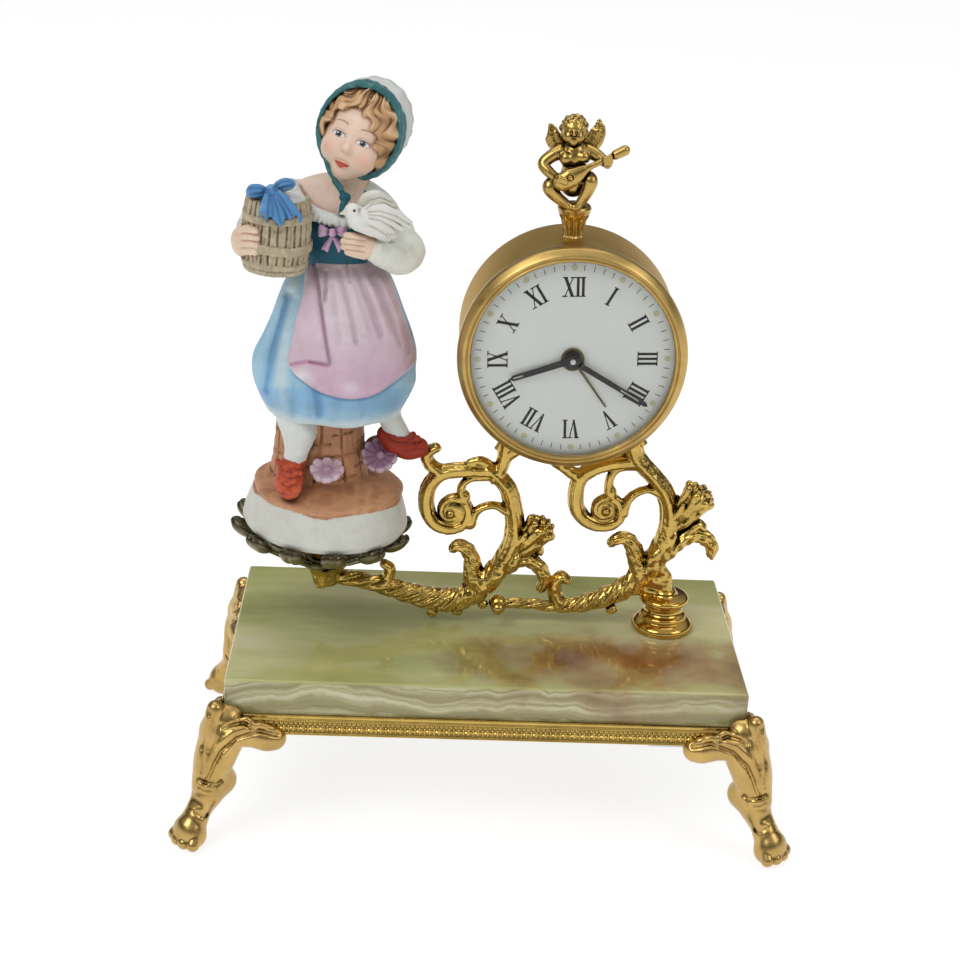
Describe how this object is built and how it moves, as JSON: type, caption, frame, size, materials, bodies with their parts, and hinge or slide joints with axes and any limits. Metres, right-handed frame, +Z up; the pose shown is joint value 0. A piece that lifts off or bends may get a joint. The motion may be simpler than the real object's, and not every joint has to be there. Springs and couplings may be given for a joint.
{
  "type": "figural table alarm clock",
  "caption": "Gilt table alarm clock on scroll arms over a green stone slab with cast feet, with a cherub on top and a porcelain girl holding a dove and basket beside it.",
  "frame": {"origin": "centre of the footprint on the floor, under the middle of the slab", "axes": "+Z up, dial faces -Y, figurine on the -X side"},
  "size_m": [0.169, 0.0956, 0.1992],
  "materials": {
    "stone": "polished banded green stone",
    "gold_cast": "bright gilt casting, polished",
    "gold_polished": "mirror-polished gilt",
    "gold_brushed": "brushed gilt sheet",
    "pewter_gilt": "dark worn gilt sheet",
    "porcelain": "matte hand-painted bisque",
    "glass": "clear domed glass",
    "dial_white": "matte off-white enamel paint with black figures",
    "black_paint": "satin black",
    "brass": "satin brass",
    "steel": "plain steel"
  },
  "bodies": {
    "stand": {"onyx_slab": "stone", "base_frame": "gold_cast", "clamp_bar": "steel", "foot_front_left": "gold_cast", "foot_front_right": "gold_cast", "foot_back_left": "gold_cast", "foot_back_right": "gold_cast", "foot_screws": "steel", "pedestal": "gold_polished", "pedestal_stud": "steel", "stud_nut": "steel", "scroll_arm_right": "gold_cast", "scroll_arm_left": "gold_cast", "arm_joint_screw": "gold_cast", "drum_screws": "steel", "figurine_tray": "pewter_gilt", "tray_screw": "steel", "figurine": "porcelain", "case_drum": "gold_brushed", "bezel": "gold_polished", "crystal": "glass", "dial_ring": "gold_polished", "dial": "dial_white", "rear_cover": "gold_brushed", "cover_posts": "brass", "cover_screws": "brass", "cherub_finial": "gold_cast", "rear_plate": "brass", "front_plate": "brass", "plate_pillars": "brass", "plate_screws": "steel"},
    "minutes": {"minute_hand": "black_paint", "center_arbor": "steel", "time_set_knob": "brass"},
    "hours": {"hour_hand": "black_paint", "hour_wheel": "brass"},
    "minute_wheel": {"minute_wheel": "brass"},
    "alarm_setting": {"alarm_set_arbor": "steel", "alarm_set_knob": "brass"},
    "alarm_pointer": {"alarm_hand": "brass", "alarm_wheel": "brass"},
    "fourth_wheel": {"fourth_wheel": "brass"},
    "third_wheel": {"third_wheel": "brass"},
    "center_wheel": {"center_wheel": "brass"},
    "time_barrel": {"time_barrel": "brass", "time_mainspring": "steel"},
    "escape_wheel": {"escape_wheel": "brass"},
    "pallet_lever": {"pallet_lever": "steel"},
    "balance": {"balance_wheel": "brass", "hairspring": "steel"},
    "regulator": {"regulator_lever": "steel"},
    "time_winder": {"time_winding_arbor": "steel", "time_winding_key": "brass"},
    "alarm_winder": {"alarm_winding_arbor": "steel", "alarm_winding_key": "brass"},
    "alarm_barrel": {"alarm_barrel": "brass", "alarm_mainspring": "steel"},
    "strike_wheel": {"strike_wheel": "brass"},
    "alarm_hammer": {"alarm_hammer": "steel"},
    "alarm_stop": {"alarm_stop_button": "brass"}
  },
  "joints": [
    {"name": "time_set", "type": "hinge", "parent": "stand", "child": "minutes", "pos_m": [0.0189, 0, 0.131], "axis": [0, 1, 0], "continuous": true},
    {"name": "hour_turn", "type": "hinge", "parent": "stand", "child": "hours", "pos_m": [0.0189, 0, 0.131], "axis": [0, 1, 0], "continuous": true},
    {"name": "minute_wheel_turn", "type": "hinge", "parent": "stand", "child": "minute_wheel", "pos_m": [0.0249, 0, 0.131], "axis": [0, 1, 0], "continuous": true},
    {"name": "alarm_set", "type": "hinge", "parent": "stand", "child": "alarm_setting", "pos_m": [0.0189, 0, 0.119], "axis": [0, 1, 0], "continuous": true},
    {"name": "alarm_pointer_turn", "type": "hinge", "parent": "stand", "child": "alarm_pointer", "pos_m": [0.0189, 0, 0.131], "axis": [0, 1, 0], "continuous": true},
    {"name": "train_run", "type": "hinge", "parent": "stand", "child": "fourth_wheel", "pos_m": [0.01535, 0, 0.13974], "axis": [0, 1, 0], "continuous": true},
    {"name": "third_turn", "type": "hinge", "parent": "stand", "child": "third_wheel", "pos_m": [0.02315, 0, 0.13836], "axis": [0, 1, 0], "continuous": true},
    {"name": "center_turn", "type": "hinge", "parent": "stand", "child": "center_wheel", "pos_m": [0.0189, 0, 0.131], "axis": [0, 1, 0], "continuous": true},
    {"name": "time_barrel_turn", "type": "hinge", "parent": "stand", "child": "time_barrel", "pos_m": [0.01055, 0, 0.12515], "axis": [0, 1, 0], "continuous": true},
    {"name": "escape_turn", "type": "hinge", "parent": "stand", "child": "escape_wheel", "pos_m": [0.00826, 0, 0.13849], "axis": [0, 1, 0], "continuous": true},
    {"name": "pallet_rock", "type": "hinge", "parent": "stand", "child": "pallet_lever", "pos_m": [0.00654, 0, 0.14361], "axis": [0, 1, 0], "range_deg": [-4, 4]},
    {"name": "balance_swing", "type": "hinge", "parent": "stand", "child": "balance", "pos_m": [0.0049, 0, 0.1485], "axis": [0, 1, 0], "range_deg": [-140, 140], "stiffness_Nm_per_rad": 0.000002},
    {"name": "regulator_set", "type": "hinge", "parent": "stand", "child": "regulator", "pos_m": [0.0049, 0, 0.1485], "axis": [0, 1, 0], "range_deg": [-18, 18]},
    {"name": "time_wind", "type": "hinge", "parent": "stand", "child": "time_winder", "pos_m": [0.01055, 0, 0.12515], "axis": [0, 1, 0], "range_deg": [0, 1530]},
    {"name": "alarm_wind", "type": "hinge", "parent": "stand", "child": "alarm_winder", "pos_m": [0.0315, 0, 0.1214], "axis": [0, 1, 0], "range_deg": [0, 1170]},
    {"name": "alarm_run", "type": "hinge", "parent": "stand", "child": "alarm_barrel", "pos_m": [0.0315, 0, 0.1214], "axis": [0, 1, 0], "continuous": true},
    {"name": "strike_turn", "type": "hinge", "parent": "stand", "child": "strike_wheel", "pos_m": [0.03413, 0, 0.1312], "axis": [0, 1, 0], "continuous": true},
    {"name": "hammer_swing", "type": "hinge", "parent": "stand", "child": "alarm_hammer", "pos_m": [0.0404, 0, 0.1325], "axis": [0, 1, 0], "range_deg": [-3, 3], "stiffness_Nm_per_rad": 0.01},
    {"name": "alarm_stop_press", "type": "slide", "parent": "stand", "child": "alarm_stop", "axis": [0, -1, 0], "range_m": [0, 0.0015], "stiffness_N_per_m": 150}
  ],
  "couplings": [
    {"joint": "hour_turn", "follows": "time_set", "ratio": 0.083333},
    {"joint": "minute_wheel_turn", "follows": "time_set", "ratio": -0.33333},
    {"joint": "alarm_pointer_turn", "follows": "alarm_set", "ratio": -0.33333},
    {"joint": "third_turn", "follows": "train_run", "ratio": -0.125},
    {"joint": "center_turn", "follows": "train_run", "ratio": 0.016667},
    {"joint": "time_barrel_turn", "follows": "train_run", "ratio": -0.0035714},
    {"joint": "escape_turn", "follows": "train_run", "ratio": -8},
    {"joint": "strike_turn", "follows": "alarm_run", "ratio": -4.8}
  ]
}
